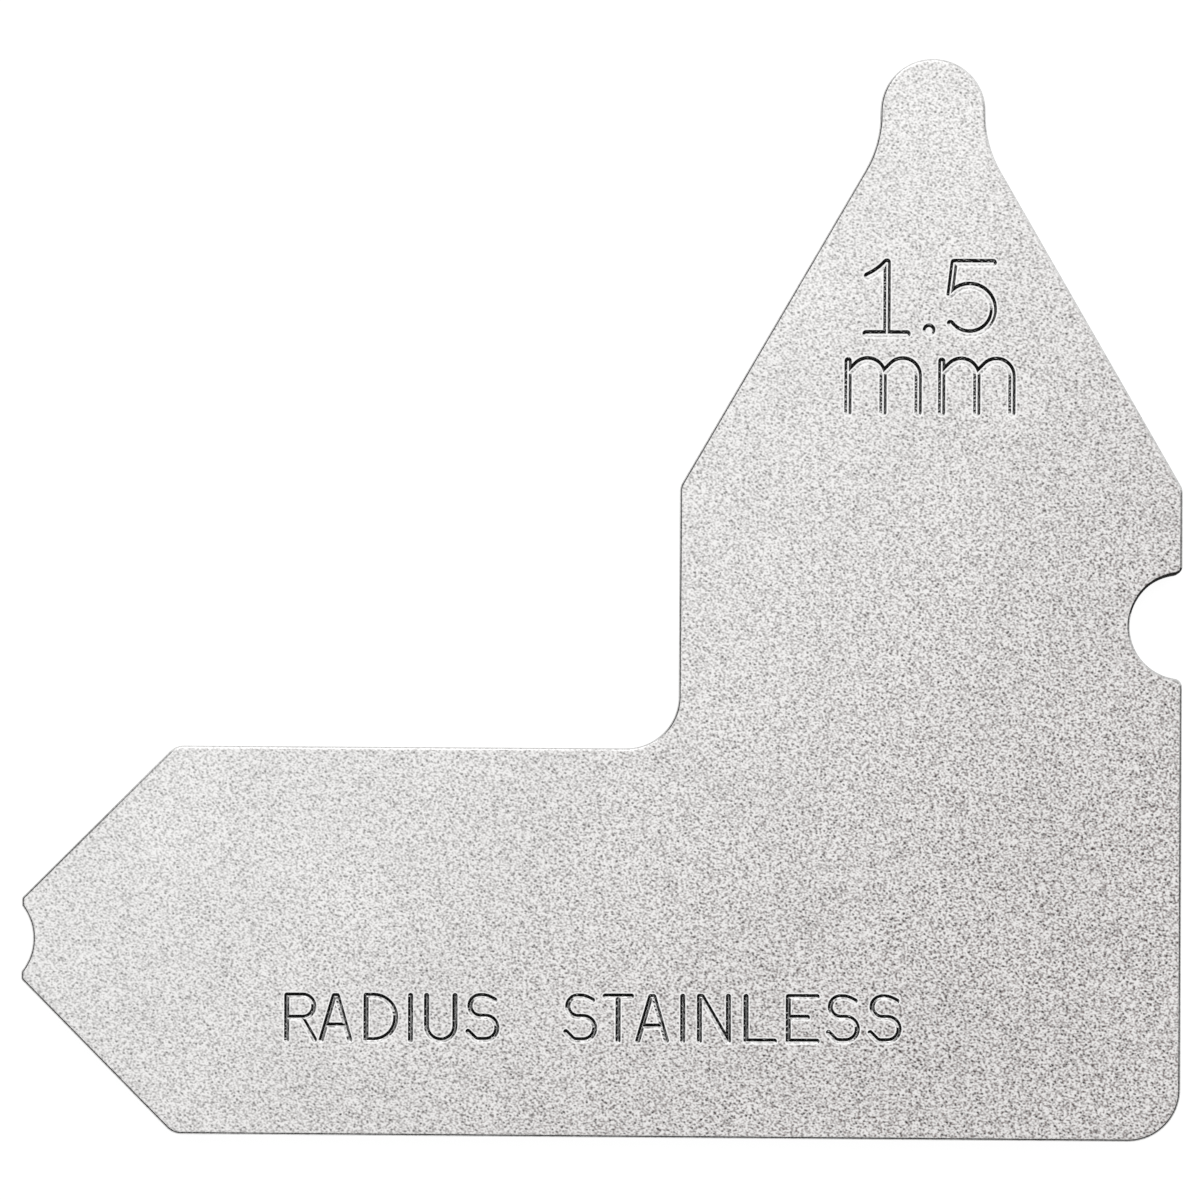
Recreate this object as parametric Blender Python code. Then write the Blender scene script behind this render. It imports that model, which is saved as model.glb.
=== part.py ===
"""Radius gauge: one flat steel blade whose edges carry five profiles of the same radius.

The blade is an L. Its stem ends in a ball on a waisted 60 degree taper, and its arm ends in a
90 degree point that is hollowed out. The straight side of the stem has a half round notch, and
the two corners of the L, one inside and one outside, are rounded to the gauging radius too.

The blade lies on its back face: X runs along the arm towards the straight side of the stem,
Y runs up the stem and Z through the thickness. Sizes are in metres, angles in degrees.
"""

import math

import bmesh
import bpy
from mathutils import Vector

MM = 0.001

# The gauging radius: ball, notch, hollow point, inside corner and outside corner
RADIUS = 1.5 * MM

# Sheet
THICKNESS = 1.2 * MM
EDGE_ROUND = 0.07 * MM

# Arm, with its point
ARM_WIDTH = 11.1 * MM
ARM_LENGTH = 14.4 * MM
ARM_SHOULDER_ROUND = 0.6 * MM
POINT_ANGLE = 90.0
HORN_FLAT = 0.23 * MM
HORN_ROUND = 0.12 * MM

# Stem, with its taper and ball
STEM_WIDTH = 14.35 * MM
STEM_RISE = 7.5 * MM
STEM_SHOULDER_ROUND = 0.5 * MM
TAPER_ANGLE = 60.0
BALL_OVERHANG = 0.68 * MM
NECK_RADIUS = 3.25 * MM

# Notch in the straight side of the stem
NOTCH_DROP = 3.93 * MM
NOTCH_LIP_ROUND = 0.25 * MM

# Facets of the round stretches
ARC_STEP = 4.0
EDGE_SEGMENTS = 3

# Places in the plan, from the corner where the stem's straight side meets the bottom edge
STEM_INNER_X = -STEM_WIDTH
STEM_AXIS_X = -STEM_WIDTH / 2
ARM_AXIS_Y = ARM_WIDTH / 2
STEM_SHOULDER_Y = ARM_WIDTH + STEM_RISE
ARM_SHOULDER_X = STEM_INNER_X - ARM_LENGTH
HALF_TAPER = math.radians(TAPER_ANGLE / 2)
HALF_POINT = math.radians(POINT_ANGLE / 2)

TAPER_TIP = Vector((STEM_AXIS_X, STEM_SHOULDER_Y + STEM_WIDTH / 2 / math.tan(HALF_TAPER)))
BALL_INSET = RADIUS - BALL_OVERHANG
BALL_CENTRE = TAPER_TIP - Vector((0, BALL_INSET / math.sin(HALF_TAPER)))
POINT_TIP = Vector((ARM_SHOULDER_X - ARM_AXIS_Y / math.tan(HALF_POINT), ARM_AXIS_Y))
NOTCH_CENTRE = Vector((0, STEM_SHOULDER_Y - NOTCH_DROP))


def arc(centre, radius, start, end):
    """Points on a circle from one angle to another; it runs clockwise when end is below start."""
    steps = max(2, math.ceil(abs(end - start) / ARC_STEP))
    angles = [math.radians(start + (end - start) * step / steps) for step in range(steps + 1)]
    return [centre + radius * Vector((math.cos(angle), math.sin(angle))) for angle in angles]


def bearing(centre, point):
    """The angle at which a centre sees a point."""
    return math.degrees(math.atan2(point.y - centre.y, point.x - centre.x))


def short_arc(centre, start, end):
    """Points of the shorter arc about a centre, from one point to another."""
    first = bearing(centre, start)
    turn = (bearing(centre, end) - first + 180) % 360 - 180
    return arc(centre, (start - centre).length, first, first + turn)


def round_corner(before, corner, after, radius):
    """Points of the arc that is tangent to both straight sides of a corner."""
    back = (before - corner).normalized()
    ahead = (after - corner).normalized()
    half_angle = back.angle(ahead) / 2
    centre = corner + (back + ahead).normalized() * radius / math.sin(half_angle)
    setback = radius / math.tan(half_angle)
    return short_arc(centre, corner + back * setback, corner + ahead * setback)


def flip(points, axis_x=None, axis_y=None):
    """The same points mirrored in an upright or a level line, in the other order."""
    if axis_x is not None:
        return [Vector((2 * axis_x - point.x, point.y)) for point in reversed(points)]
    return [Vector((point.x, 2 * axis_y - point.y)) for point in reversed(points)]


def towards(start, end, distance):
    """The point at a distance from start on the way to end."""
    return start + (end - start).normalized() * distance


def outside_corner():
    """The corner of the L between the bottom edge and the stem's straight side."""
    return arc(Vector((-RADIUS, RADIUS)), RADIUS, -90, 0)


def notch():
    """The half round notch with its two rounded lips, from the bottom to the top."""
    rise = math.sqrt((RADIUS + NOTCH_LIP_ROUND) ** 2 - NOTCH_LIP_ROUND ** 2)
    lip_centre = NOTCH_CENTRE - Vector((NOTCH_LIP_ROUND, rise))
    edge_point = lip_centre + Vector((NOTCH_LIP_ROUND, 0))
    notch_point = towards(NOTCH_CENTRE, lip_centre, RADIUS)
    lip = short_arc(lip_centre, edge_point, notch_point)
    start = bearing(NOTCH_CENTRE, notch_point)
    hollow = arc(NOTCH_CENTRE, RADIUS, start, -360 - start)
    return lip + hollow[1:-1] + flip(lip, axis_y=NOTCH_CENTRE.y)


def stem_head():
    """The taper, the necks and the ball, from the right shoulder round to the left one."""
    corner = Vector((0, STEM_SHOULDER_Y))
    shoulder = round_corner(NOTCH_CENTRE, corner, TAPER_TIP, STEM_SHOULDER_ROUND)

    outward = Vector((math.cos(HALF_TAPER), math.sin(HALF_TAPER)))
    downward = Vector((math.sin(HALF_TAPER), -math.cos(HALF_TAPER)))
    inset = BALL_INSET + NECK_RADIUS
    drop = math.sqrt((RADIUS + NECK_RADIUS) ** 2 - inset ** 2)
    neck_centre = BALL_CENTRE + outward * inset + downward * drop
    ball_point = towards(BALL_CENTRE, neck_centre, RADIUS)
    neck = short_arc(neck_centre, neck_centre - outward * NECK_RADIUS, ball_point)

    start = bearing(BALL_CENTRE, ball_point)
    ball = arc(BALL_CENTRE, RADIUS, start, 180 - start)
    right_side = shoulder + neck
    return right_side + ball[1:-1] + flip(right_side, axis_x=STEM_AXIS_X)


def inside_corner():
    """The corner of the L between the stem and the arm."""
    corner = Vector((STEM_INNER_X, ARM_WIDTH))
    above = Vector((STEM_INNER_X, STEM_SHOULDER_Y))
    beside = Vector((ARM_SHOULDER_X, ARM_WIDTH))
    return round_corner(above, corner, beside, RADIUS)


def horn_setback():
    """How far the flats of the horns stand back from the tip of the point.

    There, the side of the point lies one flat further from the arm's axis than the hollow does.
    """
    slope = math.tan(HALF_POINT)
    square = 1 + slope ** 2
    root = math.sqrt((HORN_FLAT * slope) ** 2 - square * (HORN_FLAT ** 2 - RADIUS ** 2))
    return (HORN_FLAT * slope + root) / square


def arm_point():
    """The 90 degree point and its hollow, from the upper shoulder round to the lower one."""
    corner = Vector((ARM_SHOULDER_X, ARM_WIDTH))
    inner = Vector((STEM_INNER_X, ARM_WIDTH))
    shoulder = round_corner(inner, corner, POINT_TIP, ARM_SHOULDER_ROUND)

    setback = horn_setback()
    flat_x = POINT_TIP.x + setback
    horn = Vector((flat_x, ARM_AXIS_Y + setback * math.tan(HALF_POINT)))
    lip_rise = math.sqrt((RADIUS + HORN_ROUND) ** 2 - (setback + HORN_ROUND) ** 2)
    lip_centre = Vector((flat_x + HORN_ROUND, ARM_AXIS_Y + lip_rise))
    flat_end = lip_centre - Vector((HORN_ROUND, 0))
    hollow_point = towards(POINT_TIP, lip_centre, RADIUS)
    outer = round_corner(corner, horn, flat_end, HORN_ROUND)
    lip = short_arc(lip_centre, flat_end, hollow_point)

    start = bearing(POINT_TIP, hollow_point)
    hollow = arc(POINT_TIP, RADIUS, start, -start)
    upper_side = shoulder + outer + lip
    return upper_side + hollow[1:-1] + flip(upper_side, axis_y=ARM_AXIS_Y)


def blade_outline():
    """The whole outline, counter-clockwise, centred on its own bounding box."""
    points = outside_corner() + notch() + stem_head() + inside_corner() + arm_point()
    middle_x = (min(point.x for point in points) + max(point.x for point in points)) / 2
    middle_y = (min(point.y for point in points) + max(point.y for point in points)) / 2
    return [point - Vector((middle_x, middle_y)) for point in points]


def build_blade():
    """The outline extruded through the sheet, with every rim edge rounded."""
    mesh = bpy.data.meshes.new("gauge_blade")
    blade = bmesh.new()
    back = blade.faces.new([blade.verts.new((point.x, point.y, 0)) for point in blade_outline()])
    front = bmesh.ops.extrude_face_region(blade, geom=[back])["geom"]
    front_corners = [item for item in front if isinstance(item, bmesh.types.BMVert)]
    bmesh.ops.translate(blade, verts=front_corners, vec=(0, 0, THICKNESS))
    bmesh.ops.recalc_face_normals(blade, faces=blade.faces)

    rims = [edge for edge in blade.edges if abs(edge.verts[0].co.z - edge.verts[1].co.z) < THICKNESS / 2]
    bmesh.ops.bevel(blade, geom=rims, offset=EDGE_ROUND, offset_type="OFFSET", affect="EDGES",
                    segments=EDGE_SEGMENTS, profile=0.5, clamp_overlap=True, material=-1)
    bmesh.ops.dissolve_degenerate(blade, edges=blade.edges, dist=EDGE_ROUND / 1000)
    bmesh.ops.triangulate(blade, faces=blade.faces)
    blade.to_mesh(mesh)
    blade.free()
    mesh.shade_smooth()
    mesh.set_sharp_from_angle(angle=math.radians(30))
    return bpy.data.objects.new("gauge_blade", mesh)


def satin_steel():
    """Blasted stainless steel, a little warm."""
    steel = bpy.data.materials.new("satin_steel")
    steel.use_nodes = True
    surface = steel.node_tree.nodes["Principled BSDF"]
    surface.inputs["Base Color"].default_value = (0.66, 0.65, 0.64, 1)
    surface.inputs["Metallic"].default_value = 1.0
    surface.inputs["Roughness"].default_value = 0.42
    return steel


def clear_scene():
    """Remove whatever the scene holds."""
    for item in list(bpy.data.objects):
        bpy.data.objects.remove(item, do_unlink=True)


clear_scene()
gauge_blade = build_blade()
gauge_blade.data.materials.append(satin_steel())
bpy.context.scene.collection.objects.link(gauge_blade)
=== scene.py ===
"""Radius gauge dressed for its picture: engraved blade, finishes, floor, light and camera.

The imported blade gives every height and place. The blade shown is a copy of it, with the size
and the material engraved in its front face by a round tool that leaves rolled lips. Sizes are
in metres, angles in degrees, and the frame is the blade's own: X along the arm, Y up the stem
and Z out of the front face.
"""

import logging
import math
from collections.abc import Callable
from dataclasses import dataclass, field, replace
from enum import IntEnum

import bmesh
import bpy
from mathutils import Matrix, Vector


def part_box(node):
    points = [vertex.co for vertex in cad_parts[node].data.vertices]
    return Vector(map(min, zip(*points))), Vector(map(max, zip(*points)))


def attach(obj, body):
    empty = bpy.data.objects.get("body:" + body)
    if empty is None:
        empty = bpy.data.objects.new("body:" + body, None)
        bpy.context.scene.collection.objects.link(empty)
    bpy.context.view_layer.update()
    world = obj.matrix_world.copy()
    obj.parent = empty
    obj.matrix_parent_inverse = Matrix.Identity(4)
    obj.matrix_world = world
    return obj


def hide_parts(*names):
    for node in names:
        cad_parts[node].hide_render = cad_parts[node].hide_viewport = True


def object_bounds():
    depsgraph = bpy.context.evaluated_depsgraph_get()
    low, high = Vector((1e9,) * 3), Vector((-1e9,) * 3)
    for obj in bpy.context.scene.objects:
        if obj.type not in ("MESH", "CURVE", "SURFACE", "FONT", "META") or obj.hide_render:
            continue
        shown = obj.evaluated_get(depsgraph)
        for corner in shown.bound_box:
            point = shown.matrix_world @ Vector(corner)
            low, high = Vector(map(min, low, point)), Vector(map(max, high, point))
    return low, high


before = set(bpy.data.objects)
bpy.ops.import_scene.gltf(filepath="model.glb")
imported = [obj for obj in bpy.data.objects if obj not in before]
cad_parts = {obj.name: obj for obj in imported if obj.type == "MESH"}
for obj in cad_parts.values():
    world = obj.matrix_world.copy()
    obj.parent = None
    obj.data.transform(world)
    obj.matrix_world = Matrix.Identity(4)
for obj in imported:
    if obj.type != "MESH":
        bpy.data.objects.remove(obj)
cad_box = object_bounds()

Socket = bpy.types.NodeSocket
Parts = bmesh.types.BMVertSeq | bmesh.types.BMEdgeSeq | bmesh.types.BMFaceSeq
Colour = tuple[float, float, float, float]

MM = 0.001
BODY = "root"
BLADE_NODE = "gauge_blade"
WHITE: Colour = (1.0, 1.0, 1.0, 1.0)

# The marks are cut at this many times the true size, where the solver's rounding does no harm
BENCH_SCALE = 4096.0

# A face lies flat where its normal's Z is above the first, and stands upright below the second
LEVEL = 0.99
STEEP = 0.5

log = logging.getLogger("radius_gauge")


class Surface(IntEnum):
    """Which finish a face of the blade has, or the painted shade of the notch's upper flank, in the order of
    the blade's material slots.
    """

    FACE = 0
    RIM = 1
    ROUND = 2
    LIP = 3
    WALL = 4
    EDGE = 5
    FLANK = 6
    SMALL_WALL = 7


class Nodes:
    """Shorthand for the node tree of one material or world."""

    def __init__(self, tree: bpy.types.NodeTree) -> None:
        """Take over a tree.

        Args:
            tree: the node tree to add to.
        """
        self.tree = tree

    def add(self, kind: str, **settings: object) -> bpy.types.Node:
        """Add a node.

        Args:
            kind: the node's type without its ShaderNode prefix.
            settings: values for the node's own properties.

        Returns:
            The new node.
        """
        node = self.tree.nodes.new("ShaderNode" + kind)
        for name, value in settings.items():
            setattr(node, name, value)
        return node

    def feed(self, target: Socket, value: object) -> None:
        """Give an input either a link or a plain value.

        Args:
            target: the input socket.
            value: an output socket to link, or a number or tuple to set.
        """
        if isinstance(value, Socket):
            self.tree.links.new(value, target)
        else:
            target.default_value = value

    def math(self, operation: str, *values: object) -> Socket:
        """Add a Math node.

        Args:
            operation: the node's operation.
            values: links or numbers for its inputs, in order.

        Returns:
            The node's output.
        """
        node = self.add("Math", operation=operation)
        for target, value in zip(node.inputs, values):
            self.feed(target, value)
        return node.outputs[0]

    def ramp(self, value: object, low: float, high: float, start: object = 0.0,
             end: object = 1.0, smooth: bool = True) -> Socket:
        """Map a value from one range to another, held at both ends.

        Args:
            value: the link to map.
            low: where the source range starts.
            high: where it ends.
            start: the result at the low end.
            end: the result at the high end.
            smooth: whether the way between is an S curve.

        Returns:
            The mapped value.
        """
        node = self.add("MapRange", interpolation_type="SMOOTHSTEP" if smooth else "LINEAR")
        for target, given in zip(node.inputs, (value, low, high, start, end)):
            self.feed(target, given)
        return node.outputs["Result"]

    def laid_level(self, way: Socket) -> Socket:
        """Lay a direction level.

        Args:
            way: the direction.

        Returns:
            The same direction seen from above, with the length 1.
        """
        level = self.add("VectorMath", operation="MULTIPLY")
        self.feed(level.inputs[0], way)
        level.inputs[1].default_value = (1.0, 1.0, 0.0)
        unit = self.add("VectorMath", operation="NORMALIZE")
        self.feed(unit.inputs[0], level.outputs[0])
        return unit.outputs[0]

    def toward(self, place: Socket, bearing: float) -> Socket:
        """How far a place lies to one side, seen from above.

        Args:
            place: the place or direction.
            bearing: the side, as an angle from X.

        Returns:
            Its distance from the origin towards that side.
        """
        dot = self.add("VectorMath", operation="DOT_PRODUCT")
        self.feed(dot.inputs[0], place)
        angle = math.radians(bearing)
        dot.inputs[1].default_value = (math.cos(angle), math.sin(angle), 0)
        return dot.outputs["Value"]

    def mix(self, factor: object, first: object, second: object) -> Socket:
        """Blend two colours.

        Args:
            factor: the share of the second colour.
            first: the colour at factor 0.
            second: the colour at factor 1.

        Returns:
            The blended colour.
        """
        node = self.add("Mix", data_type="RGBA")
        self.feed(node.inputs["Factor"], factor)
        self.feed(node.inputs["A"], first)
        self.feed(node.inputs["B"], second)
        return node.outputs["Result"]


def tint(level: float, warmth: float = 0.005) -> Colour:
    """A grey that is a little warm.

    Args:
        level: its red part.
        warmth: how much less green than red it has, and how much less blue than green.

    Returns:
        The colour.
    """
    return (level, level - warmth, level - 2 * warmth, 1.0)


@dataclass(frozen=True)
class BlastedSteel:
    """Stainless sheet blasted to a fine satin: small dark pits on a bright ground.

    The pits are deeper and the steel darker towards the outside corner: painted shade, for the more slanting
    light there.
    """

    name: str
    bright: Colour = tint(0.90, 0.008)
    shaded_bright: Colour = (0.81, 0.796, 0.788, 1.0)
    dull: Colour = tint(0.48)
    shaded_dull: Colour = (0.15, 0.116, 0.112, 1.0)
    grain_span: tuple[float, float] = (0.15, 0.62)
    grain_size: float = 0.070 * MM
    grain_turn: tuple[float, float, float] = (25.0, 20.0, 45.0)
    grain_stretch: float = 1.2
    grain_detail: float = 0.0
    noise_roughness: float = 0.4
    pit_size: float = 0.130 * MM
    pit_span: tuple[float, float] = (0.05, 0.42)
    pit_wobble: float = 0.030 * MM
    unshaded_depth: float = 0.54
    shaded_depth: float = 0.92
    shade_bearing: float = -42.5
    shade_span: tuple[float, float] = (-8.0 * MM, 18.0 * MM)
    cloud_size: float = 3.0 * MM
    cloud_detail: float = 2.0
    cloud_span: tuple[float, float] = (0.3, 0.7)
    cloud_depth: float = 0.04
    bright_roughness: float = 0.36
    dull_roughness: float = 0.46
    metallic: float = 1.0
    specular: float = 0.5
    bump: float = 0.6
    bump_height: float = 0.008 * MM

    def noise(self, nodes: Nodes, place: Socket, size: float, detail: float) -> bpy.types.Node:
        """Add a noise of one size.

        Args:
            nodes: the material's nodes.
            place: where the noise is read.
            size: the length of its waves.
            detail: how many finer octaves it has.

        Returns:
            The noise node.
        """
        noise = nodes.add("TexNoise")
        nodes.feed(noise.inputs["Vector"], place)
        noise.inputs["Scale"].default_value = 1 / size
        noise.inputs["Detail"].default_value = detail
        noise.inputs["Roughness"].default_value = self.noise_roughness
        return noise

    def pits(self, nodes: Nodes, place: Socket, wobble: Socket) -> Socket:
        """Add the pits: one in each cell, each of its own depth.

        Args:
            nodes: the material's nodes.
            place: where the pits are read.
            wobble: a random colour that bends them out of round.

        Returns:
            How deep the surface is, from 0 between pits to 1 in the deepest.
        """
        shift = nodes.add("VectorMath", operation="MULTIPLY_ADD")
        nodes.feed(shift.inputs[0], wobble)
        shift.inputs[1].default_value = (self.pit_wobble,) * 3
        nodes.feed(shift.inputs[2], place)
        cells = nodes.add("TexVoronoi", voronoi_dimensions="2D")
        nodes.feed(cells.inputs["Vector"], shift.outputs[0])
        cells.inputs["Scale"].default_value = 1 / self.pit_size
        hollow = nodes.ramp(cells.outputs["Distance"], *self.pit_span, 1.0, 0.0)
        parts = nodes.add("SeparateColor")
        nodes.feed(parts.inputs[0], cells.outputs["Color"])
        return nodes.math("MULTIPLY", hollow, parts.outputs[0])

    def material(self) -> bpy.types.Material:
        """Build the node material.

        Returns:
            The material, patterned on object coordinates.
        """
        steel = bpy.data.materials.new(self.name)
        steel.use_nodes = True
        nodes = Nodes(steel.node_tree)
        surface = steel.node_tree.nodes["Principled BSDF"]
        surface.inputs["Metallic"].default_value = self.metallic
        surface.inputs["Specular IOR Level"].default_value = self.specular

        place = nodes.add("TexCoord").outputs["Object"]
        turned = nodes.add("Mapping")
        nodes.feed(turned.inputs["Vector"], place)
        turned.inputs["Rotation"].default_value = [math.radians(angle) for angle in self.grain_turn]
        turned.inputs["Scale"].default_value = (1.0, self.grain_stretch, 1.0)
        grain = self.noise(nodes, turned.outputs["Vector"], self.grain_size, self.grain_detail)
        pits = self.pits(nodes, turned.outputs["Vector"], grain.outputs["Color"])
        clouds = self.noise(nodes, place, self.cloud_size, self.cloud_detail)

        # Painted shade: deeper pits and darker tones towards the outside corner, for the more slanting light
        # there
        corner_shade = nodes.ramp(nodes.toward(place, self.shade_bearing), *self.shade_span)
        depth = nodes.ramp(corner_shade, 0.0, 1.0, self.unshaded_depth, self.shaded_depth, smooth=False)

        level = nodes.ramp(grain.outputs["Fac"], *self.grain_span, smooth=False)
        tone = nodes.mix(level, nodes.mix(corner_shade, self.dull, self.shaded_dull),
                         nodes.mix(corner_shade, self.bright, self.shaded_bright))
        clean = nodes.math("SUBTRACT", 1.0, nodes.math("MULTIPLY", pits, depth))
        cloudy = nodes.ramp(clouds.outputs["Fac"], *self.cloud_span, 1 - self.cloud_depth, 1.0)
        colour = nodes.add("VectorMath", operation="SCALE")
        nodes.feed(colour.inputs[0], tone)
        nodes.feed(colour.inputs["Scale"], nodes.math("MULTIPLY", clean, cloudy))
        nodes.feed(surface.inputs["Base Color"], colour.outputs[0])
        roughness = nodes.ramp(clean, 0.0, 1.0, self.dull_roughness, self.bright_roughness)
        nodes.feed(surface.inputs["Roughness"], roughness)

        relief = nodes.add("Bump")
        relief.inputs["Strength"].default_value = self.bump
        relief.inputs["Distance"].default_value = self.bump_height
        nodes.feed(relief.inputs["Height"], nodes.math("MULTIPLY", grain.outputs["Fac"], clean))
        nodes.feed(surface.inputs["Normal"], relief.outputs["Normal"])
        return steel


# The finish of each kind of face, and the near-black painted shade of the notch's upper flank
FINISHES: dict[Surface, BlastedSteel] = {
    Surface.FACE: BlastedSteel("blasted_steel"),
    Surface.RIM: BlastedSteel("rim_steel", unshaded_depth=0.30, shaded_depth=0.60),
    Surface.ROUND: BlastedSteel(
        "round_steel",
        dull=tint(0.60), shaded_dull=tint(0.40), bright=tint(0.84), shaded_bright=tint(0.66),
        unshaded_depth=0.2, shaded_depth=0.4, bright_roughness=0.20, dull_roughness=0.28, bump=0.3,
    ),
    Surface.LIP: BlastedSteel(
        "lip_steel",
        dull=tint(0.74), shaded_dull=tint(0.66), bright=tint(0.90), shaded_bright=tint(0.90),
        unshaded_depth=0.08, shaded_depth=0.16, bright_roughness=0.28, dull_roughness=0.36, bump=0.2,
    ),
    Surface.WALL: BlastedSteel(
        "wall_steel",
        dull=tint(0.40), shaded_dull=tint(0.36), bright=tint(0.90), shaded_bright=tint(0.88),
        unshaded_depth=0.3, shaded_depth=0.4, bright_roughness=0.10, dull_roughness=0.15,
        bump=0.6, bump_height=0.010 * MM,
    ),
    Surface.EDGE: BlastedSteel(
        "edge_steel",
        dull=tint(0.20, 0.002), shaded_dull=tint(0.20, 0.002),
        bright=tint(0.34, 0.003), shaded_bright=tint(0.34, 0.003),
        unshaded_depth=0.25, shaded_depth=0.35, bright_roughness=0.45, dull_roughness=0.60,
    ),
    # Painted shade: the notch's upper flank, near black and matte, where the light does not reach
    Surface.FLANK: BlastedSteel(
        "flank_painted_shade",
        dull=tint(0.012, 0), shaded_dull=tint(0.012, 0),
        bright=tint(0.05, 0.001), shaded_bright=tint(0.05, 0.001),
        bright_roughness=0.80, dull_roughness=0.90, metallic=0.0, specular=0.1,
    ),
    Surface.SMALL_WALL: BlastedSteel(
        "small_wall_steel",
        dull=tint(0.30), shaded_dull=tint(0.20), bright=tint(0.90), shaded_bright=tint(0.88),
        grain_size=0.100 * MM, unshaded_depth=0.5, shaded_depth=0.7,
        bright_roughness=0.10, dull_roughness=0.15, bump=0.8, bump_height=0.015 * MM,
    ),
}


@dataclass(frozen=True)
class FloorPaint:
    """The white ground: it shows white, and a little less so in the blade's shadow."""

    name: str = "white_ground"
    colour: Colour = (0.90, 0.90, 0.90, 1.0)
    glow: float = 0.94
    matte_share: float = 0.22

    def material(self) -> bpy.types.Material:
        """Build the node material.

        Returns:
            A matte paint that adds its glow for the rays that show the ground.
        """
        paint = bpy.data.materials.new(self.name)
        paint.use_nodes = True
        nodes = Nodes(paint.node_tree)
        paint.node_tree.nodes.clear()
        ray = nodes.add("LightPath")
        shown = nodes.math("MAXIMUM", ray.outputs["Is Camera Ray"], ray.outputs["Is Glossy Ray"])
        shown = nodes.math("MAXIMUM", shown, ray.outputs["Is Transmission Ray"])
        matte = nodes.add("BsdfDiffuse")
        matte.inputs["Color"].default_value = self.colour
        dimmed = nodes.add("BsdfDiffuse")
        dimmed.inputs["Color"].default_value = [self.matte_share * part for part in self.colour[:3]] + [1]
        glow = nodes.add("Emission")
        glow.inputs["Strength"].default_value = self.glow
        bright = nodes.add("AddShader")
        nodes.feed(bright.inputs[0], dimmed.outputs[0])
        nodes.feed(bright.inputs[1], glow.outputs[0])
        choice = nodes.add("MixShader")
        nodes.feed(choice.inputs[0], shown)
        nodes.feed(choice.inputs[1], matte.outputs[0])
        nodes.feed(choice.inputs[2], bright.outputs[0])
        output = nodes.add("OutputMaterial")
        nodes.feed(output.inputs["Surface"], choice.outputs[0])
        return paint


@dataclass(frozen=True)
class Straight:
    """A straight run of a stroke, as a share of the letter height."""

    length: float


@dataclass(frozen=True)
class Turn:
    """A round run of a stroke; it turns left where its degrees are positive."""

    radius: float
    degrees: float


@dataclass(frozen=True)
class Stroke:
    """One pass of the engraving tool, in shares of the letter height."""

    start: tuple[float, float]
    heading: float
    runs: tuple[Straight | Turn, ...]

    def end(self) -> Vector:
        """Where the stroke ends, in shares of the letter height."""
        spot = Vector(self.start)
        heading = math.radians(self.heading)
        for run in self.runs:
            along = Vector((math.cos(heading), math.sin(heading)))
            if isinstance(run, Straight):
                spot = spot + along * run.length
            else:
                side = math.copysign(1, run.degrees)
                centre = spot + side * run.radius * Vector((-along.y, along.x))
                turn = math.radians(run.degrees)
                spot = centre + Matrix.Rotation(turn, 2) @ (spot - centre)
                heading += turn
        return spot


def line(start: tuple[float, float], end: tuple[float, float]) -> Stroke:
    """A stroke with one straight run.

    Args:
        start: where the tool goes in.
        end: where it comes out.

    Returns:
        The stroke.
    """
    way = Vector(end) - Vector(start)
    return Stroke(start, math.degrees(math.atan2(way.y, way.x)), (Straight(way.length),))


@dataclass(frozen=True)
class Glyph:
    """A letter or figure: its strokes, its width and the room that it keeps on either side."""

    width: float
    before: float
    after: float
    strokes: tuple[Stroke, ...]


def small_m() -> Glyph:
    """The small m: three legs, and two arches that spring from the legs at 45 degrees."""
    pitch, radius, spring = 0.666, 0.2944, 45
    branch, leg_top, room = 0.748, 0.976, 0.2224
    slope = math.radians(spring)
    rise = (pitch - radius - radius * math.cos(slope)) / math.cos(slope)
    top = branch + (rise - radius) * math.sin(slope)
    arch = (Straight(rise), Turn(radius, -90 - spring), Straight(top))
    legs = [line((0, leg_top), (0, 0))]
    legs += [Stroke((leg * pitch, branch), spring, arch) for leg in range(2)]
    return Glyph(2 * pitch, room, room, tuple(legs))


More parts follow.
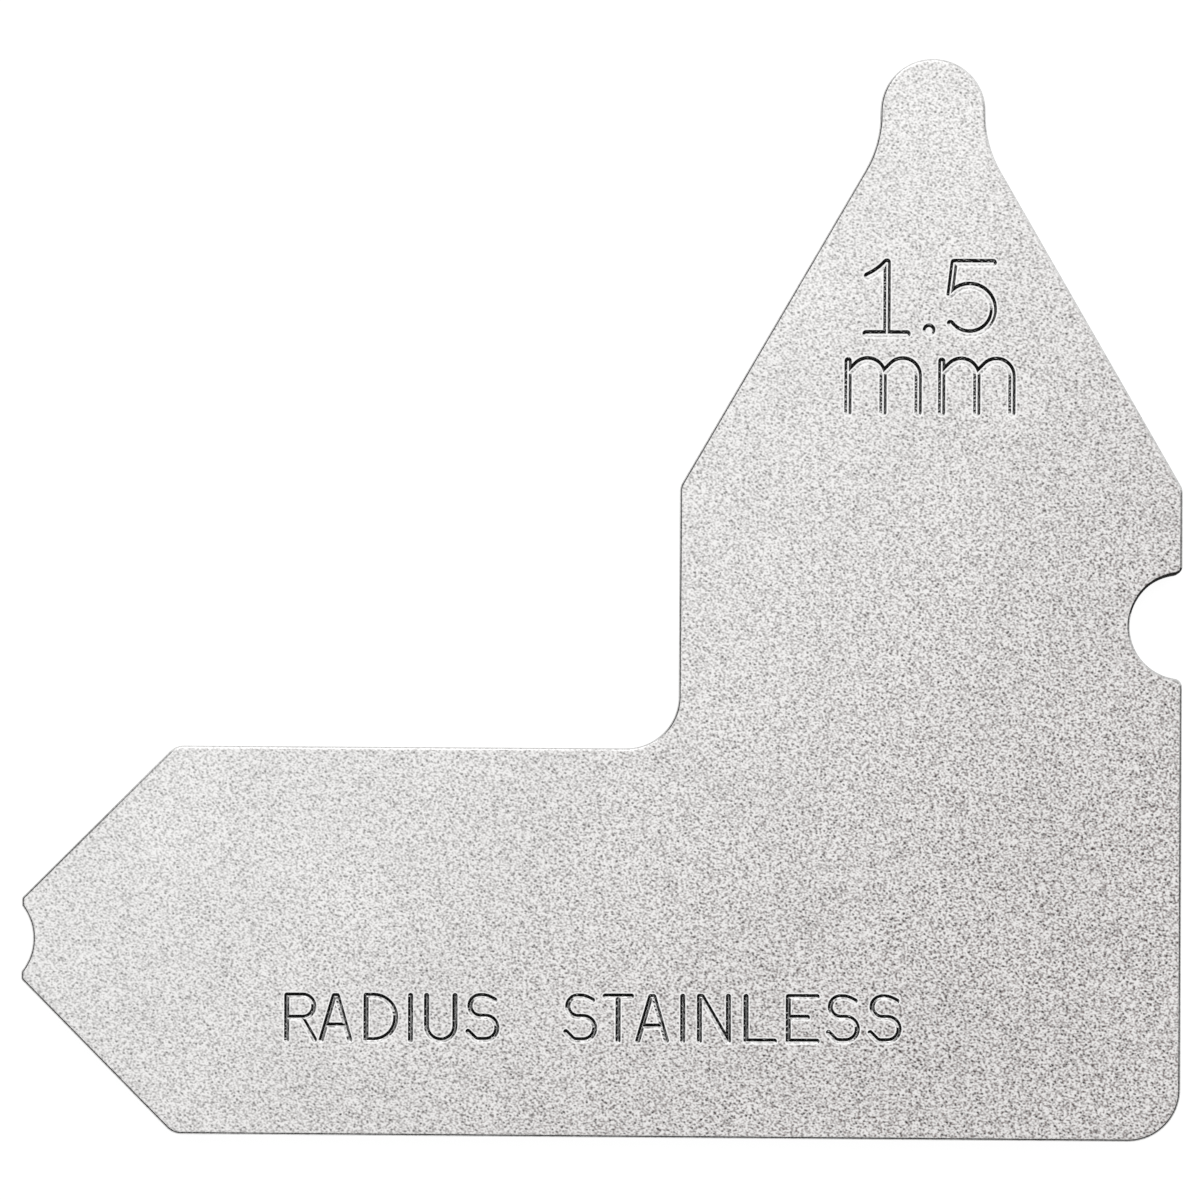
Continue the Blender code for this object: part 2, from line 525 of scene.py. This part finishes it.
# The letters and figures of the marks, in shares of the letter height
GLYPHS: dict[str, Glyph] = {
    "1": Glyph(0.56, 0.0, 0.03, (
        Stroke((0.015, 0.806), 23.5, (Turn(0.763, 25),)),
        line((0.291, 1), (0.291, 0)),
        line((0, 0), (0.573, 0)),
    )),
    ".": Glyph(0.0, 0.288, 0.240, ()),
    "5": Glyph(0.642, 0.03, 0.0, (
        line((0.075, 1), (0.62, 1)),
        line((0.075, 1), (0.02, 0.548)),
        Stroke((0.0374, 0.563), 50, (Turn(0.333, -283),)),
    )),
    "A": Glyph(0.676, 0.05, 0.152, (
        line((0.01, 0), (0.3, 0.99)),
        line((0.3, 0.99), (0.37, 0.99)),
        line((0.37, 0.99), (0.655, 0)),
        line((0.125, 0.328), (0.56, 0.328)),
    )),
    "D": Glyph(0.67, 0.194, 0.14, (
        line((0, 0), (0, 1)),
        Stroke((0, 1), 0, (Straight(0.17), Turn(0.5, -180), Straight(0.17))),
    )),
    "E": Glyph(0.647, 0.194, 0.14, (
        line((0, 0), (0, 1)),
        line((0, 1), (0.647, 1)),
        line((0, 0.536), (0.434, 0.536)),
        line((0, 0), (0.647, 0)),
    )),
    "I": Glyph(0.0, 0.194, 0.182, (line((0, 0), (0, 1)),)),
    "L": Glyph(0.639, 0.194, 0.117, (
        line((0, 1), (0, 0)),
        line((0, 0), (0.639, 0)),
    )),
    "N": Glyph(0.652, 0.194, 0.203, (
        line((0, 0), (0, 1)),
        line((0, 1), (0.06, 0.995)),
        line((0.06, 0.995), (0.64, 0)),
        line((0.652, 0), (0.652, 1)),
    )),
    "R": Glyph(0.63, 0.194, 0.09, (
        line((0, 0), (0, 1)),
        Stroke((0, 1), 0, (Straight(0.36), Turn(0.25, -180), Straight(0.36))),
        line((0.34, 0.5), (0.63, 0)),
    )),
    "S": Glyph(0.609, 0.158, 0.171, (
        Stroke((0.558, 0.907), 153, (
            Straight(0.105), Turn(0.4165, 27), Straight(0.0445), Turn(0.231, 180), Straight(0.115),
            Turn(0.262, -180), Straight(0.146), Turn(0.142, -45), Straight(0.200),
        )),
    )),
    "T": Glyph(0.607, 0.062, 0.07, (
        line((0, 1), (0.595, 1)),
        line((0.293, 1), (0.293, 0)),
    )),
    "U": Glyph(0.64, 0.18, 0.18, (
        Stroke((0, 1), -90, (Straight(0.68), Turn(0.32, 180), Straight(0.68))),
    )),
    "m": small_m(),
}


@dataclass(frozen=True)
class EngravingTool:
    """The section of an engraved groove: rolled lips, sloping walls and a flat floor.

    The tool leans, so that the floor lies nearer to the foot of the letters.
    """

    lip_width: float
    cut_width: float
    floor_width: float
    depth: float
    lean: float
    wall: Surface = Surface.WALL
    lip_drop: float = 0.004 * MM
    clearance: float = 0.004 * MM
    turn_step: float = 10.0
    plunge_steps: int = 24
    weld: float = 0.00004 * MM

    def half_section(self, grow: float = 0.0) -> list[tuple[float, float]]:
        """The right half of the section.

        Args:
            grow: how much wider than the groove it is, on each side.

        Returns:
            Distances from the groove's centre line and from the face, from the top down.
        """
        slope = (self.lip_width - self.cut_width) / 2 / self.lip_drop
        wing = self.lip_width / 2 + slope * self.clearance
        return [
            (wing + grow, self.clearance),
            (self.cut_width / 2 + grow, -self.lip_drop),
            (self.floor_width / 2 + grow, -self.depth),
        ]

    def finish_cutter(self, shape: bmesh.types.BMesh, name: str, face_height: float) -> bpy.types.Object:
        """Close a cutter's mesh and say which of its faces make lips, walls and floor.

        Args:
            shape: the cutter's faces.
            name: the cutter's name.
            face_height: the height of the face that it cuts.

        Returns:
            The cutter, not yet in any collection.
        """
        bmesh.ops.remove_doubles(shape, verts=shape.verts, dist=self.weld)
        cut_top = face_height - self.lip_drop
        for corner in shape.verts:
            corner.co.y -= max(0.0, cut_top - corner.co.z) * math.tan(math.radians(self.lean))
        bmesh.ops.recalc_face_normals(shape, faces=shape.faces)
        wall_middle = face_height - self.depth / 2
        for face in shape.faces:
            height = face.calc_center_median().z
            is_floor = height < wall_middle and abs(face.normal.z) > LEVEL
            face.material_index = Surface.LIP if height > cut_top or is_floor else self.wall
        mesh = bpy.data.meshes.new(name)
        shape.to_mesh(mesh)
        shape.free()
        return bpy.data.objects.new(name, mesh)

    def sweep(self, stroke: Stroke, corner: Vector, size: float) -> bpy.types.Object:
        """A cutter that follows a stroke.

        Args:
            stroke: the stroke, in shares of the letter height.
            corner: the left end of the letter's baseline, on the face.
            size: the letter height.

        Returns:
            The closed cutter, square at both ends.
        """
        shape = bmesh.new()
        half = self.half_section()
        section = half + [(-across, rise) for across, rise in reversed(half)]
        tip = shape.faces.new([shape.verts.new((0, across, rise)) for across, rise in section])
        start = corner + size * Vector((*stroke.start, 0))
        heading = math.radians(stroke.heading)
        place = Matrix.Translation(start) @ Matrix.Rotation(heading, 4, "Z")
        bmesh.ops.transform(shape, matrix=place, verts=shape.verts)

        spot = start
        first = tip
        for run in stroke.runs:
            along = Vector((math.cos(heading), math.sin(heading), 0))
            behind = tip
            if isinstance(run, Straight):
                moved = bmesh.ops.extrude_face_region(shape, geom=[tip])["geom"]
                corners = [item for item in moved if isinstance(item, bmesh.types.BMVert)]
                bmesh.ops.translate(shape, verts=corners, vec=along * run.length * size)
                spot = spot + along * run.length * size
            else:
                side = math.copysign(1, run.degrees)
                centre = spot + side * run.radius * size * Vector((-along.y, along.x, 0))
                angle = math.radians(run.degrees)
                moved = bmesh.ops.spin(
                    shape, geom=[tip, *tip.edges, *tip.verts], cent=centre, axis=(0, 0, 1),
                    angle=angle, steps=math.ceil(abs(run.degrees) / self.turn_step),
                )["geom_last"]
                spot = centre + Matrix.Rotation(angle, 3, "Z") @ (spot - centre)
                heading += angle
            if behind is not first and behind.is_valid:
                bmesh.ops.delete(shape, geom=[behind], context="FACES_ONLY")
            tip = next(item for item in moved if isinstance(item, bmesh.types.BMFace))
        return self.finish_cutter(shape, "groove_cutter", corner.z)

    def plunge(self, spot: Vector, grow: float = 0.0) -> bpy.types.Object:
        """A round cutter that goes straight in.

        Args:
            spot: where it goes in, on the face.
            grow: how much wider than the groove it is, all round.

        Returns:
            The closed cutter.
        """
        shape = bmesh.new()
        profile = self.half_section(grow)
        profile = [(0.0, profile[0][1]), *profile, (0.0, profile[-1][1])]
        corners = [shape.verts.new((spot.x + across, spot.y, spot.z + rise)) for across, rise in profile]
        edges = [shape.edges.new(pair) for pair in zip(corners, corners[1:])]
        bmesh.ops.spin(shape, geom=corners + edges, cent=spot, axis=(0, 0, 1), angle=math.tau,
                       steps=self.plunge_steps, use_merge=True)
        return self.finish_cutter(shape, "plunge_cutter", spot.z)


@dataclass(frozen=True)
class Lettering:
    """One engraved row of letters, all of one height."""

    text: str
    height: float
    left: float
    baseline: float
    tool: EngravingTool
    tilt: float = 0.0
    dot_rise: float = 0.056
    dot_grow: float = 0.08 * MM
    end_digits: int = 3

    def width(self) -> float:
        """The row's width between the centre lines of its outermost strokes."""
        glyphs = [GLYPHS[letter] for letter in self.text]
        inner = sum(glyph.before + glyph.width + glyph.after for glyph in glyphs)
        return (inner - glyphs[0].before - glyphs[-1].after) * self.height

    def cutters(self, face_height: float) -> list[bpy.types.Object]:
        """The cutters of every letter in the row.

        Args:
            face_height: the height of the face that they cut.

        Returns:
            One cutter for each stroke and for each of its round ends.
        """
        made = []
        cursor = self.left - GLYPHS[self.text[0]].before * self.height
        for letter in self.text:
            glyph = GLYPHS[letter]
            corner = Vector((cursor + glyph.before * self.height, self.baseline, face_height))
            if letter == ".":
                dot = corner + Vector((0, self.dot_rise * self.height, 0))
                made.append(self.tool.plunge(dot, self.dot_grow))
            ends = set()
            for stroke in glyph.strokes:
                made.append(self.tool.sweep(stroke, corner, self.height))
                for end in (Vector(stroke.start), stroke.end()):
                    ends.add((round(end.x, self.end_digits), round(end.y, self.end_digits)))
            made += [self.tool.plunge(corner + self.height * Vector((*end, 0))) for end in sorted(ends)]
            cursor += (glyph.before + glyph.width + glyph.after) * self.height
        start = Matrix.Translation((self.left, self.baseline, 0))
        turn = start @ Matrix.Rotation(math.radians(self.tilt), 4, "Z") @ start.inverted()
        for cutter in made:
            cutter.data.transform(turn)
        return made


def number_by(parts: Parts, place: Callable[[object], list[float]]) -> None:
    """Number the corners, edges or faces of a shape by where they are.

    Args:
        parts: all of the shape's corners, edges or faces.
        place: gives the numbers that say where one of them is.
    """
    ranks = {part: rank for rank, part in enumerate(sorted(parts, key=place))}
    parts.sort(key=ranks.get)
    parts.index_update()


@dataclass
class EngravedBlade:
    """The blade that is shown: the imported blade's own shape, with its marks cut in."""

    name: str = "engraved_blade"
    node_weld: float = 0.0001 * MM
    same_plane: float = 0.5
    rim_band: float = 0.045 * MM
    ring_merge: float = 0.012 * MM
    notch_centre: tuple[float, float] = (16.565 * MM, -0.774 * MM)
    notch_reach: float = 1.9 * MM
    flank_slope: float = 0.15
    stem_axis: float = 9.342 * MM
    size_height: float = 2.051 * MM
    size_baseline: float = 7.563 * MM
    unit_height: float = 1.506 * MM
    unit_baseline: float = 5.315 * MM
    words_height: float = 1.2675 * MM
    words_baseline: float = -12.683 * MM
    words_tilt: float = 0.25
    first_word_left: float = -8.93 * MM
    second_word_left: float = -0.893 * MM
    size_tool: EngravingTool = EngravingTool(
        lip_width=0.292 * MM, cut_width=0.208 * MM, floor_width=0.040 * MM, depth=0.046 * MM, lean=28.0)
    words_tool: EngravingTool = EngravingTool(
        lip_width=0.22 * MM, cut_width=0.149 * MM, floor_width=0.004 * MM, depth=0.040 * MM, lean=27.0,
        wall=Surface.SMALL_WALL)
    weld: float = 0.00005 * MM
    sharp_angle: float = 40.0
    wall_angle: float = 15.0

    def rows(self) -> list[Lettering]:
        """The rows of marks, each in its place."""
        rows = []
        for text, height, baseline in (("1.5", self.size_height, self.size_baseline),
                                       ("mm", self.unit_height, self.unit_baseline)):
            row = Lettering(text, height, 0, baseline, self.size_tool)
            rows.append(replace(row, left=self.stem_axis - row.width() / 2))
        for text, left in (("RADIUS", self.first_word_left), ("STAINLESS", self.second_word_left)):
            rise = (left - self.second_word_left) * math.tan(math.radians(self.words_tilt))
            rows.append(Lettering(text, self.words_height, left, self.words_baseline + rise,
                                  self.words_tool, self.words_tilt))
        return rows

    def copy_of_node(self) -> bmesh.types.BMesh:
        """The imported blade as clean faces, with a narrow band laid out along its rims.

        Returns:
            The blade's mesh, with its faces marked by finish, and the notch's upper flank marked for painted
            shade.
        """
        shape = bmesh.new()
        shape.from_mesh(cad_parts[BLADE_NODE].data)
        bmesh.ops.remove_doubles(shape, verts=shape.verts, dist=self.node_weld)
        bmesh.ops.dissolve_limit(shape, angle_limit=math.radians(self.same_plane),
                                 verts=shape.verts, edges=shape.edges)
        for face in shape.faces:
            face.material_index = Surface.EDGE if abs(face.normal.z) < STEEP else Surface.ROUND
            # Painted shade: the notch's upper flank, which faces down the stem, takes the near-black painted
            # shade
            to_notch = face.calc_center_median().xy - Vector(self.notch_centre)
            if to_notch.length < self.notch_reach and face.normal.y < -self.flank_slope:
                face.material_index = Surface.FLANK
        front_and_back = sorted(shape.faces, key=lambda face: -face.calc_area())[:2]
        for side in front_and_back:
            band = bmesh.ops.inset_region(shape, faces=[side], thickness=self.rim_band, use_even_offset=True)
            for face in band["faces"]:
                face.material_index = Surface.RIM
            side.material_index = Surface.FACE
            bmesh.ops.remove_doubles(shape, verts=side.verts, dist=self.ring_merge)
        return shape

    def engrave(self, plain: bpy.types.Object, cutters: list[bpy.types.Object]) -> bpy.types.Mesh:
        """Cut the grooves into a blade.

        Args:
            plain: the blade, which stays as it is.
            cutters: the closed cutters, which go away.

        Returns:
            A mesh of the blade with its grooves.
        """
        tray = bpy.data.collections.new("engraving_cutters")
        bpy.context.scene.collection.children.link(tray)
        for cutter in cutters:
            tray.objects.link(cutter)
        cut = plain.modifiers.new("engraving", "BOOLEAN")
        cut.operation = "DIFFERENCE"
        cut.solver = "MANIFOLD"
        cut.operand_type = "COLLECTION"
        cut.collection = tray
        bpy.context.view_layer.update()
        graph = bpy.context.evaluated_depsgraph_get()
        engraved = bpy.data.meshes.new_from_object(plain.evaluated_get(graph))
        for cutter in cutters:
            bpy.data.objects.remove(cutter, do_unlink=True)
        bpy.data.collections.remove(tray)
        return engraved

    def build(self) -> bpy.types.Object:
        """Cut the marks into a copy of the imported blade.

        Returns:
            The finished blade, in place.
        """
        shape = self.copy_of_node()
        mesh = bpy.data.meshes.new(self.name)
        shape.to_mesh(mesh)
        shape.free()
        plain = bpy.data.objects.new("plain_blade", mesh)
        bpy.context.scene.collection.objects.link(plain)

        face_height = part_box(BLADE_NODE)[1].z
        cutters = [cutter for row in self.rows() for cutter in row.cutters(face_height)]
        finishes = [FINISHES[surface].material() for surface in Surface]
        enlarge = Matrix.Scale(BENCH_SCALE, 4)
        for item in [plain, *cutters]:
            item.data.transform(enlarge)
            for finish in finishes:
                item.data.materials.append(finish)
        log.info("engraving %d cutters", len(cutters))
        engraved = self.engrave(plain, cutters)
        self.shade(engraved)
        engraved.transform(enlarge.inverted())
        bpy.data.objects.remove(plain, do_unlink=True)

        blade = bpy.data.objects.new(self.name, engraved)
        bpy.context.scene.collection.objects.link(blade)
        return blade

    def shade(self, mesh: bpy.types.Mesh) -> None:
        """Weld hairline edges, smooth the rounds and grooves, and keep the flat faces flat.

        The faces are cut into triangles first, because a weld would tear the solver's long ones.
        The solver hands its parts over in no fixed order, so they are numbered by place at last.

        Args:
            mesh: the engraved mesh, still at the bench scale.
        """
        shape = bmesh.new()
        shape.from_mesh(mesh)
        bmesh.ops.triangulate(shape, faces=shape.faces)
        bmesh.ops.remove_doubles(shape, verts=shape.verts, dist=self.weld * BENCH_SCALE)
        bmesh.ops.dissolve_degenerate(shape, edges=shape.edges, dist=self.weld * BENCH_SCALE)
        for face in shape.faces:
            face.smooth = face.material_index != Surface.FACE
        for edge in shape.edges:
            wall = [face.material_index in (Surface.WALL, Surface.SMALL_WALL) for face in edge.link_faces]
            limit = self.wall_angle if all(wall) else self.sharp_angle
            edge.smooth = edge.calc_face_angle(0) < math.radians(limit) and all(wall) == any(wall)
        number_by(shape.verts, lambda corner: list(corner.co))
        number_by(shape.edges, lambda edge: sorted(corner.index for corner in edge.verts))
        number_by(shape.faces, lambda face: sorted(corner.index for corner in face.verts))
        shape.to_mesh(mesh)
        shape.free()

    def place(self) -> bpy.types.Object:
        """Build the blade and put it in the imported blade's stead.

        Returns:
            The blade.
        """
        blade = self.build()
        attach(blade, BODY)
        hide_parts(BLADE_NODE)
        return blade


@dataclass
class Ground:
    """The plain white ground that the blade lies on."""

    name: str = "ground"
    width: float = 6.0
    gap: float = 0.02 * MM
    paint: FloorPaint = field(default_factory=FloorPaint)

    def place(self) -> bpy.types.Object:
        """Build the ground.

        Returns:
            The ground, a hair under the blade's back face.
        """
        mesh = bpy.data.meshes.new(self.name)
        shape = bmesh.new()
        bmesh.ops.create_grid(shape, x_segments=1, y_segments=1, size=self.width / 2)
        bmesh.ops.translate(shape, verts=shape.verts, vec=(0, 0, cad_box[0].z - self.gap))
        shape.to_mesh(mesh)
        shape.free()
        mesh.materials.append(self.paint.material())
        ground = bpy.data.objects.new(self.name, mesh)
        bpy.context.scene.collection.objects.link(ground)
        return ground


@dataclass(frozen=True)
class Studio:
    """Soft light from overhead and behind the stem, and dimmer light from the left and low down."""

    dark: float = 0.008
    overhead: float = 1.20
    overhead_edges: tuple[float, float] = (0.80, 0.95)
    back: float = 1.0
    back_edges: tuple[float, float] = (0.32, 0.62)
    back_bearing: float = 74.0
    side: float = 0.26
    side_edges: tuple[float, float] = (0.80, 0.99)
    side_bearing: float = 180.0
    side_heights: tuple[float, float] = (0.42, 0.72)
    low: float = 0.30
    low_edges: tuple[float, float] = (0.32, 0.52)
    lamp_place: tuple[float, float, float] = (-0.02, 0.11, 0.13)
    lamp_width: float = 0.10
    lamp_power: float = 0.03

    def place(self) -> None:
        """Build the world and the lamp."""
        world = bpy.data.worlds.new("studio")
        bpy.context.scene.world = world
        world.use_nodes = True
        nodes = Nodes(world.node_tree)
        way = nodes.add("TexCoord").outputs["Generated"]
        split = nodes.add("SeparateXYZ")
        nodes.feed(split.inputs[0], way)
        height = split.outputs["Z"]
        compass = nodes.laid_level(way)
        above = nodes.ramp(height, *self.overhead_edges, self.dark, self.overhead)
        behind = nodes.ramp(nodes.toward(compass, self.back_bearing), *self.back_edges, 0.0, self.back)
        beside = nodes.ramp(nodes.toward(compass, self.side_bearing), *self.side_edges, 0.0, self.side)
        beside = nodes.math("MULTIPLY", beside, nodes.ramp(height, *self.side_heights, 1.0, 0.0))
        beneath = nodes.ramp(height, *self.low_edges, self.low, 0.0)
        level = nodes.math("MAXIMUM", above, behind)
        level = nodes.math("MAXIMUM", level, nodes.math("MAXIMUM", beside, beneath))
        background = world.node_tree.nodes["Background"]
        nodes.feed(background.inputs["Strength"], level)
        background.inputs["Color"].default_value = WHITE

        lamp = bpy.data.lights.new("soft_lamp", "AREA")
        lamp.shape = "SQUARE"
        lamp.size = self.lamp_width
        lamp.energy = self.lamp_power
        holder = bpy.data.objects.new("soft_lamp", lamp)
        holder.location = self.lamp_place
        holder.rotation_euler = (-Vector(self.lamp_place)).to_track_quat("-Z", "Y").to_euler()
        holder.visible_camera = False
        bpy.context.scene.collection.objects.link(holder)


@dataclass(frozen=True)
class PictureCamera:
    """The camera straight above the blade, leaning a little to the right and to the near side."""

    aim_x: float = -0.052 * MM
    aim_y: float = -0.103 * MM
    view_width: float = 34.314 * MM
    distance: float = 200 * MM
    lean_right: float = 1.885
    lean_near: float = 1.757
    roll: float = 0.3206
    sensor: float = 36.0
    nearest: float = 10 * MM
    farthest: float = 50.0

    def place(self) -> bpy.types.Object:
        """Build the camera and make it the scene's own.

        Returns:
            The camera.
        """
        aim = Vector((self.aim_x, self.aim_y, cad_box[1].z))
        back = Vector((math.sin(math.radians(self.lean_right)), -math.sin(math.radians(self.lean_near)), 0))
        back.z = math.sqrt(1 - back.length_squared)
        turn = math.radians(self.roll)
        level = Vector((math.cos(turn), math.sin(turn), 0))
        right = (level - back * level.dot(back)).normalized()
        upward = back.cross(right)
        view = bpy.data.cameras.new("picture_camera")
        view.sensor_width = self.sensor
        view.lens = self.sensor * self.distance / self.view_width
        view.clip_start = self.nearest
        view.clip_end = self.farthest
        camera = bpy.data.objects.new("picture_camera", view)
        facing = Matrix((right, upward, back)).transposed().to_4x4()
        camera.matrix_world = Matrix.Translation(aim + back * self.distance) @ facing
        bpy.context.scene.collection.objects.link(camera)
        bpy.context.scene.camera = camera
        return camera


def main() -> None:
    """Build the camera, the blade, the ground and the light, in that order."""
    logging.basicConfig(level=logging.INFO, format="%(name)s: %(message)s")
    bpy.context.scene.view_settings.view_transform = "Standard"
    camera = PictureCamera().place()
    log.info("camera with a %.0f mm lens", camera.data.lens)
    blade = EngravedBlade().place()
    log.info("blade with %d faces", len(blade.data.polygons))
    ground = Ground().place()
    log.info("ground %.1f m wide", ground.dimensions.x)
    Studio().place()
    log.info("studio light")


if __name__ == "__main__":
    main()
